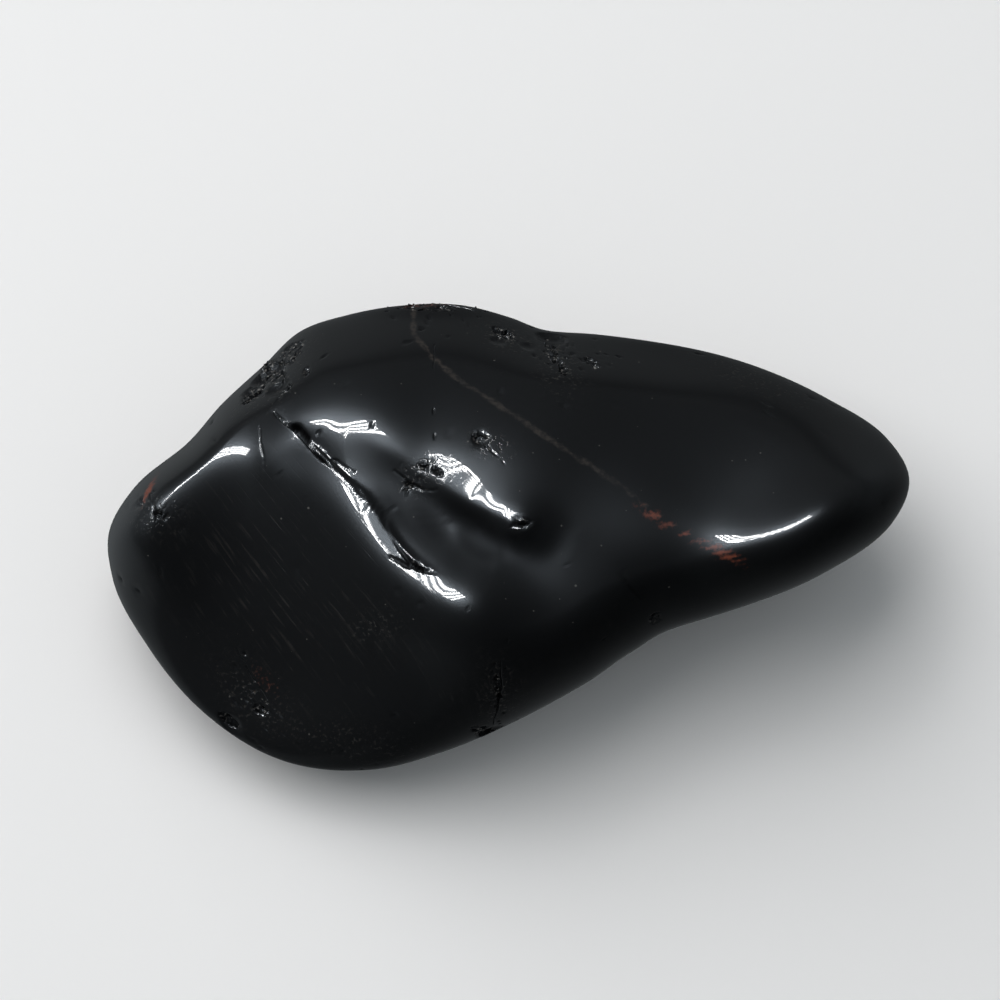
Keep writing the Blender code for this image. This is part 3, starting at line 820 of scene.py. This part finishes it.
schorl = bpy.data.materials.new("polished_schorl")
finished = add(flaws, "GeometryNodeSetMaterial", {"Geometry": realized, "Material": schorl})
add(flaws, "NodeGroupOutput", {"Geometry": finished})
modifier = pebble.modifiers.new("tumbling_flaws", "NODES")
modifier.node_group = flaws
for name, (_, value) in FLAW_SIZES.items():
    modifier[sockets[name]] = value


# ---- Polished schorl ----
# Schorl is the black, iron-rich tourmaline. Tumbling in ever finer grit leaves it mirror bright,
# with a faint bluish haze round each glint from the finest scratches. Where it is broken it is dull
# and pale at the edges, partly with painted glints, and iron has stained it rust red along a healed seam.

# The healed seam runs across the pebble as a pale brown line (x, y).
SEAM = [(-3.7, 12.2), (-3.6, 10.4), (-2.5, 9.0), (-1.1, 7.8), (0.9, 6.5), (3.7, 4.65), (7.4, 2.2),
        (9.4, 0.6), (11.2, -0.6), (13.8, -1.8)]

# Rust along the seam and elsewhere, dull patches that the polish has not reached, hazy ones that it
# has reached less well, dusty ones where grit has bruised it, and those with straight grinding marks,
# all in the same columns as the broken patches.
RUST = [
    (9.4, 0.4, 1.6, 0.35, -32, 0.9),
    (11.2, -0.6, 1.9, 0.25, -31, 0.8),
    (12.9, -1.4, 1.7, 0.35, -28, 1.0),
    (-17.9, 1.8, 1.3, 0.2, 65, 0.85),
    (-11.6, -8.4, 1.9, 0.9, -50, 0.4),
    (-3.4, 12.1, 3.0, 0.4, 0, 0.5),
]
DULL = [
    (-0.9, 0.5, 2.4, 0.8, -45, 1.0),
    (0.1, -0.8, 1.7, 1.1, -35, 1.4),
    (-2.7, 0.2, 1.9, 0.9, -50, 1.0),
    (-3.2, 2.4, 1.0, 0.7, 20, 0.5),
    (-2.6, 11.6, 3.6, 0.5, 0, 0.6),
]
HAZY = [
    (2.6, -2.0, 4.6, 2.4, -20, 0.6),
    (-19.4, 0.2, 1.6, 3.6, -20, 1.6),
    (-14.6, 5.6, 2.2, 1.2, 45, 0.2),
    (-10.4, 3.3, 1.1, 0.8, -40, 1.0),
    (21.4, 1.6, 1.6, 3.4, 0, 1.4),
    (7.6, 0.5, 3.4, 2.0, -30, 0.6),
]
DUSTY = [
    (-5.6, -5.4, 1.1, 0.8, 20, 1.0),
    (-12.2, -9.2, 2.4, 1.2, -50, 1.0),
    (0.9, -9.0, 1.9, 1.0, 95, 1.0),
    (-11.2, 8.2, 2.4, 1.2, 50, 1.0),
    (-17.5, 0.5, 1.4, 1.1, 0, 1.0),
    (4.3, 8.8, 1.6, 1.1, 110, 1.0),
    (1.4, 10.2, 1.4, 0.7, -20, 0.9),
    (-3.1, 2.6, 1.2, 0.8, 20, 1.0),
    (0.6, 4.3, 1.1, 0.6, -30, 1.0),
    (-7.6, -11.4, 4.5, 1.0, -12, 0.6),
    (15.0, 8.0, 3.4, 0.8, -22, 0.5),
]
STRIATED = [
    (-10.5, -3.6, 7.0, 4.5, -45, 1.0),
    (1.0, -9.0, 3.5, 2.0, 0, 0.5),
]


def linear(hex_colour):
    """An sRGB hex colour as the linear RGBA that a shader takes."""
    parts = [int(hex_colour[i:i + 2], 16) / 255 for i in (1, 3, 5)]
    return [p / 12.92 if p <= 0.04045 else ((p + 0.055) / 1.055) ** 2.4 for p in parts] + [1]


OUT_OF_REACH = 9  # added to the distance from the seam below the girdle, where there is no seam
mark("seam", line_distance(np.array(SEAM), x, y) + OUT_OF_REACH * (1 - upper))
mark("rust", in_patches(RUST, x, y) * upper)
mark("dull", np.minimum(in_patches(DULL, x, y), 1) * upper)
mark("hazy", in_patches(HAZY, x, y) * upper)
mark("dusty", in_patches(DUSTY, x, y) * upper)
mark("striated", in_patches(STRIATED, x, y) * upper)

schorl.use_nodes = True
tree = schorl.node_tree
shader = tree.nodes["Principled BSDF"]


def marked(name):
    """Adds a node that reads one of the marks of the mesh."""
    return add(tree, "ShaderNodeAttribute", attribute_name=name).outputs["Fac"]


def tint(base, colour, share):
    """Adds a mix from a base colour to a hex colour."""
    mixed = add(tree, "ShaderNodeMix", data_type="RGBA")
    by_name = {s.name: s for s in mixed.inputs if s.enabled}
    for name, value in (("A", base), ("B", linear(colour)), ("Factor", share)):
        if isinstance(value, bpy.types.Node):
            value = next(s for s in value.outputs if s.enabled)
        if isinstance(value, bpy.types.NodeSocket):
            tree.links.new(value, by_name[name])
        else:
            by_name[name].default_value = value
    return next(s for s in mixed.outputs if s.enabled)


# Most real grains of crushed schorl are too fine to show, so they are drawn about 0.2 mm wide. The
# mottle that breaks up the marks is about 0.9 mm wide. In this section a pair of numbers says
# between which values of such a pattern a mark goes from nothing to all of its strength.
GRAINS_PER_MM = 5.0
MOTTLES_PER_MM = 1.1
place = add(tree, "ShaderNodeVectorMath", {
    0: add(tree, "ShaderNodeTexCoord").outputs["Object"], "Scale": 1 / MM}, operation="SCALE")
grain = add(tree, "ShaderNodeTexNoise", {"Vector": place, "Scale": GRAINS_PER_MM, "Detail": 4.0})
mottle = add(tree, "ShaderNodeTexNoise", {"Vector": place, "Scale": MOTTLES_PER_MM, "Detail": 3.0})
torn, fracture, pit = marked("torn"), marked("fracture"), marked("pit")

# The seam is a hair's breadth wide, drawn to SEAM_WIDTH on either side so that it shows. It wanders
# and comes and goes, and the rust along it is grainy.
SEAM_WOBBLE = 0.5
SEAM_WIDTH = 0.2
SEAM_FAINTEST = 0.25
SEAM_GRAINS = (0.35, 0.62)
RUST_GRAINS = (0.35, 0.95)
wobble = reckon(tree, "MULTIPLY_ADD", mottle, SEAM_WOBBLE, -SEAM_WOBBLE / 2)
seam_gap = reckon(tree, "ADD", marked("seam"), wobble)
seam_line = blend(tree, reckon(tree, "ABSOLUTE", seam_gap), 1.0, 0.0, 0.0, SEAM_WIDTH)
seam_share = reckon(tree, "MULTIPLY", seam_line, blend(tree, grain, SEAM_FAINTEST, 1.0, *SEAM_GRAINS))
grainy_rust = reckon(tree, "ADD", marked("rust"), reckon(tree, "MULTIPLY_ADD", grain, 1.0, -0.5))
rust_share = blend(tree, grainy_rust, 0.0, 1.0, *RUST_GRAINS)

# Crushed grains show pale in the broken patches, and their pale colour is partly painted glint of the
# shards' facets. Elsewhere there are pale specks: one in each cell of a pattern, most of them far
# smaller than SPECK_RADIUS, which is a share of a cell.
SPECKS_PER_MM = 1.4
SPECK_RADIUS = 0.09
SPECK_RARITY = 2.6
SPECK_EDGE = 0.01
CRUSHED_GLINT_GRAINS = (0.55, 0.72)
crushed_and_glints = reckon(tree, "MULTIPLY", torn, blend(tree, grain, 0.0, 1.0, *CRUSHED_GLINT_GRAINS))
specks = add(tree, "ShaderNodeTexVoronoi", {"Vector": place, "Scale": SPECKS_PER_MM}, feature="F1")
speck_size = add(tree, "ShaderNodeSeparateXYZ", {0: specks.outputs["Color"]}).outputs["X"]
speck_size = reckon(tree, "MULTIPLY", reckon(tree, "POWER", speck_size, SPECK_RARITY), SPECK_RADIUS)
off_speck = reckon(tree, "SUBTRACT", specks.outputs["Distance"], speck_size)
speck = blend(tree, off_speck, 1.0, 0.0, -SPECK_EDGE, SPECK_EDGE)

# The grinding marks are fine straight scratches, broken up in patches. Real ones are a few hundredths
# of a millimetre wide; they are drawn about 0.14 mm wide and 6 mm long, so that they show.
STRIAE_TURN = math.radians(52)
STRIAE_PER_MM = (0.16, 7.0, 1.0)
STRIAE_LINES = (0.53, 0.70)
STRIAE_PATCHES = (0.42, 0.6)
STRIAE_FAINTEST = 0.15
along = add(tree, "ShaderNodeVectorRotate", {
    "Vector": place, "Angle": STRIAE_TURN}, rotation_type="Z_AXIS")
drawn = add(tree, "ShaderNodeVectorMath", {0: along, 1: STRIAE_PER_MM}, operation="MULTIPLY")
striae = add(tree, "ShaderNodeTexNoise", {"Vector": drawn, "Scale": 1.0, "Detail": 3.0})
patches = blend(tree, mottle, STRIAE_FAINTEST, 1.0, *STRIAE_PATCHES)
patchy = reckon(tree, "MULTIPLY", marked("striated"), patches)
scratched = reckon(tree, "MULTIPLY", patchy, blend(tree, striae, 0.0, 1.0, *STRIAE_LINES))

# The stone is all but black. What is not polished is paler: scratches, bruises, the seam, rust,
# specks and crushed grains, the last partly as painted glints, while painted shade darkens the fractures.
SCRATCH_TINT = 0.35
PAINTED_FRACTURE_SHADE = 0.85
BRUISE_GRAINS = (0.54, 0.78)
colour = tint(linear("#0d0d0e"), "#3a3531", reckon(tree, "MULTIPLY", scratched, SCRATCH_TINT))
bruised = reckon(tree, "MULTIPLY", marked("dusty"), blend(tree, grain, 0.0, 1.0, *BRUISE_GRAINS))
colour = tint(colour, "#3d3934", bruised)
colour = tint(colour, "#302b27", seam_share)
colour = tint(colour, "#6a3019", rust_share)
colour = tint(colour, "#4a4845", speck)
# Partly painted glints: the crushed grains are drawn paler to stand for shard facets catching the light.
colour = tint(colour, "#7b7874", crushed_and_glints)
# Painted shade: the fractures are darkened in colour as if shadowed inside.
colour = tint(colour, "#070606", reckon(tree, "MULTIPLY", fracture, PAINTED_FRACTURE_SHADE))
tree.links.new(colour, shader.inputs["Base Color"])

# The polish is a sharp gloss over a soft haze. The gloss is gone in the fractures, the pits and the
# dull patches and weaker where the stone is broken or rusty, and there the haze widens from POLISHED
# to ROUGHEST.
GLOSS = 0.7
POLISHED = 0.37
ROUGHEST = 0.58
TORN_SPOILS = 0.45
RUST_SPOILS = 0.6
spoilt = reckon(tree, "MAXIMUM", fracture, pit)
spoilt = reckon(tree, "MAXIMUM", spoilt, reckon(tree, "MULTIPLY", torn, TORN_SPOILS))
spoilt = reckon(tree, "MAXIMUM", spoilt, marked("dull"))
spoilt = reckon(tree, "MAXIMUM", spoilt, reckon(tree, "MULTIPLY", rust_share, RUST_SPOILS))
tree.links.new(blend(tree, spoilt, GLOSS, 0.0).outputs[0], shader.inputs["Coat Weight"])
haze = reckon(tree, "MAXIMUM", reckon(tree, "MULTIPLY", spoilt, 2.0), marked("hazy"))
roughness = blend(tree, haze, POLISHED, ROUGHEST, 0.0, 2.0)
tree.links.new(roughness.outputs[0], shader.inputs["Roughness"])

# How strong the haze is: weaker than the IOR makes it, stronger in the hazy patches and weaker in the
# dull ones. HAZE_LEVEL comes last, because an export can carry only one number for the whole piece.
HAZE_LEVEL = 0.2
HAZY_ADDS = 1.1
DULL_LEAVES = 0.3
gleam = reckon(tree, "MULTIPLY_ADD", marked("hazy"), HAZY_ADDS, 1.0)
gleam = reckon(tree, "MULTIPLY", gleam, blend(tree, marked("dull"), 1.0, DULL_LEAVES))
gleam = reckon(tree, "MULTIPLY", gleam, HAZE_LEVEL)
tree.links.new(gleam.outputs[0], shader.inputs["Specular IOR Level"])

# The IOR is schorl's own, the tint is the haze's blue, and the coat is the gloss.
shader.inputs["IOR"].default_value = 1.62
shader.inputs["Specular Tint"].default_value = linear("#dde9f4")
shader.inputs["Coat Roughness"].default_value = 0.03
shader.inputs["Coat IOR"].default_value = 1.4

# The finest relief, in millimetres: scratches, grains in the broken patches, and bruises.
SCRATCH_DEPTH = 0.012
GRAIN_HEIGHT = 0.06
BRUISE_DEPTH = 0.03
relief = reckon(tree, "MULTIPLY", scratched, -SCRATCH_DEPTH)
relief = reckon(tree, "MULTIPLY_ADD", reckon(tree, "MULTIPLY", grain, torn), GRAIN_HEIGHT, relief)
relief = reckon(tree, "MULTIPLY_ADD", bruised, -BRUISE_DEPTH, relief)
bump = add(tree, "ShaderNodeBump", {"Height": relief, "Strength": 1.0, "Distance": MM})
tree.links.new(bump.outputs["Normal"], shader.inputs["Normal"])
tree.links.new(bump.outputs["Normal"], shader.inputs["Coat Normal"])

# The tree's result becomes the pebble's own plain mesh.
graph = bpy.context.evaluated_depsgraph_get()
cut = bpy.data.meshes.new_from_object(pebble.evaluated_get(graph))
pebble.modifiers.remove(modifier)
pebble.data = cut
bpy.data.objects.remove(fractures)

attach(pebble, "root")
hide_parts("tourmaline_pebble")


# ---- The floor ----
# A plain sheet of matt white card, far larger than the pebble, that lies flat under it. It takes the
# pebble's shadow, and has no gloss of its own to speak of.

FLOOR_HALF = 1.2
card = bpy.data.materials.new("matt_white_card")
card.use_nodes = True
paper = card.node_tree.nodes["Principled BSDF"]
paper.inputs["Base Color"].default_value = linear("#ebe9e8")
paper.inputs["Roughness"].default_value = 0.7
floor_mesh = bpy.data.meshes.new("floor")
corners = [(across * FLOOR_HALF, along * FLOOR_HALF, 0)
           for across, along in ((-1, -1), (1, -1), (1, 1), (-1, 1))]
floor_mesh.from_pydata(corners, [], [(0, 1, 2, 3)])
floor_mesh.materials.append(card)
floor = bpy.data.objects.new("floor", floor_mesh)
floor.visible_glossy = False
bpy.context.scene.collection.objects.link(floor)


# ---- The light ----
# A soft panel behind and to the left, which the polish mirrors, a wide soft light that casts the
# shadow, and a dim room.

def soft_light(name, from_zenith, left_of_back, distance, width, length, watts):
    """A flat lamp that faces the pebble from a direction given in degrees."""
    lamp = bpy.data.lights.new(name, "AREA")
    lamp.shape = "RECTANGLE"
    lamp.size, lamp.size_y, lamp.energy = width, length, watts
    zenith, turn = math.radians(from_zenith), math.radians(left_of_back)
    towards = Vector((-math.sin(zenith) * math.sin(turn), math.sin(zenith) * math.cos(turn),
                      math.cos(zenith)))
    light = bpy.data.objects.new(name, lamp)
    light.location = towards * distance
    light.rotation_euler = towards.to_track_quat("Z", "Y").to_euler()
    bpy.context.scene.collection.objects.link(light)
    return light


# The panel shows only in the polish: the other light does its share of lighting the card.
panel = soft_light("panel", from_zenith=30, left_of_back=40, distance=0.45, width=0.19, length=0.085,
                   watts=10.0)
panel.visible_diffuse = False

# The panel is a grid of small lamps, DOTS along it and across it: fewer than such a panel has, so
# that they show. Each fades from its middle to its rim, in shares of the grid's spacing.
DOTS = (12, 4)
DOT_MIDDLE, DOT_RIM = 0.08, 0.44
panel.data.use_nodes = True
tree = panel.data.node_tree
across = add(tree, "ShaderNodeNewGeometry").outputs["Parametric"]
gridded = add(tree, "ShaderNodeVectorMath", {0: across, 1: (*DOTS, 1)}, operation="MULTIPLY")
within = add(tree, "ShaderNodeVectorMath", {0: gridded}, operation="FRACTION")
centred = add(tree, "ShaderNodeVectorMath", {0: within, 1: (0.5, 0.5, 0)}, operation="SUBTRACT")
flat = add(tree, "ShaderNodeVectorMath", {0: centred, 1: (1, 1, 0)}, operation="MULTIPLY")
from_dot = add(tree, "ShaderNodeVectorMath", {0: flat}, operation="LENGTH").outputs["Value"]
lit = blend(tree, from_dot, 1.0, 0.0, DOT_MIDDLE, DOT_RIM)
tree.links.new(lit.outputs[0], tree.nodes["Emission"].inputs["Strength"])

shade_light = soft_light("shade_light", from_zenith=40, left_of_back=50, distance=0.42, width=0.62,
                         length=0.62, watts=2.2)
shade_light.visible_glossy = False

# What the polish mirrors of the room, by the direction looked in: brighter to the left and the back,
# and darker within HORIZON_HEIGHT of the horizon, most of all at the back. The card itself isn't
# mirrored, so below the horizon the room stands for it, with CARD_LEVEL for its lit part on the left.
ROOM_LEVEL = 0.075
ROOM_CHANGE = (-0.05, 0.035, 0.0)
HORIZON_HEIGHT = 0.15
HORIZON_SHARE = 0.65
HORIZON_CHANGE = -0.35
CARD_LEVEL = 0.17
CARD_LEFT = (-0.9, 0.0)
CARD_LOW = (-0.3, 0.0)
FILL_LEVEL = 0.42  # what the room adds to the light on matt surfaces
SEEN_LEVEL = 0.85  # how bright the room looks beyond the floor
room = bpy.data.worlds.new("room")
room.use_nodes = True
bpy.context.scene.world = room
tree = room.node_tree
facing = add(tree, "ShaderNodeTexCoord").outputs["Generated"]
to_light = add(tree, "ShaderNodeVectorMath", {0: facing, 1: ROOM_CHANGE}, operation="DOT_PRODUCT")
glow = reckon(tree, "ADD", to_light.outputs["Value"], ROOM_LEVEL)
seen = add(tree, "ShaderNodeSeparateXYZ", {0: facing})
from_horizon = reckon(tree, "ABSOLUTE", seen.outputs["Z"])
lowest = reckon(tree, "MULTIPLY_ADD", seen.outputs["Y"], HORIZON_CHANGE, HORIZON_SHARE)
horizon = add(tree, "ShaderNodeMapRange", {
    "Value": from_horizon, "From Min": 0.0, "From Max": HORIZON_HEIGHT, "To Min": lowest, "To Max": 1.0})
mirrored = reckon(tree, "MULTIPLY", glow, horizon)
lit_card = reckon(tree, "MULTIPLY", blend(tree, seen.outputs["X"], CARD_LEVEL, 0.0, *CARD_LEFT),
                  blend(tree, seen.outputs["Z"], 1.0, 0.0, *CARD_LOW))
mirrored = reckon(tree, "ADD", mirrored, lit_card)
ray = add(tree, "ShaderNodeLightPath")
filled = add(tree, "ShaderNodeMix", {
    "Factor": ray.outputs["Is Diffuse Ray"], "A": mirrored, "B": FILL_LEVEL})
strength = add(tree, "ShaderNodeMix", {
    "Factor": ray.outputs["Is Camera Ray"], "A": filled, "B": SEEN_LEVEL})
tree.links.new(strength.outputs[0], tree.nodes["Background"].inputs["Strength"])
tree.nodes["Background"].inputs["Color"].default_value = linear("#eef6fa")


# ---- The camera ----
# It looks straight at the broad face from 40 cm through a long lens, which keeps the pebble's
# proportions nearly free of perspective.

CAMERA_DISTANCE = 0.40
VIEW_WIDTH = 0.054  # what the frame takes in at that distance
AIM = (1.08, 1.35, 0)  # the point of the face's frame that it looks at

camera = bpy.data.objects.new("camera", bpy.data.cameras.new("camera"))
x, y, w = AIM
aim = (np.array([x, y * COS - w * SIN, ORIGIN_H + y * SIN + w * COS]) - shift) * MM
towards = Vector((0, -SIN, COS))
camera.location = Vector(aim) + towards * CAMERA_DISTANCE
camera.rotation_euler = towards.to_track_quat("Z", "Y").to_euler()
camera.data.sensor_width = 36
camera.data.lens = camera.data.sensor_width * CAMERA_DISTANCE / VIEW_WIDTH
camera.data.clip_start = 0.01
bpy.context.scene.collection.objects.link(camera)
bpy.context.scene.camera = camera
bpy.context.scene.view_settings.view_transform = "Standard"
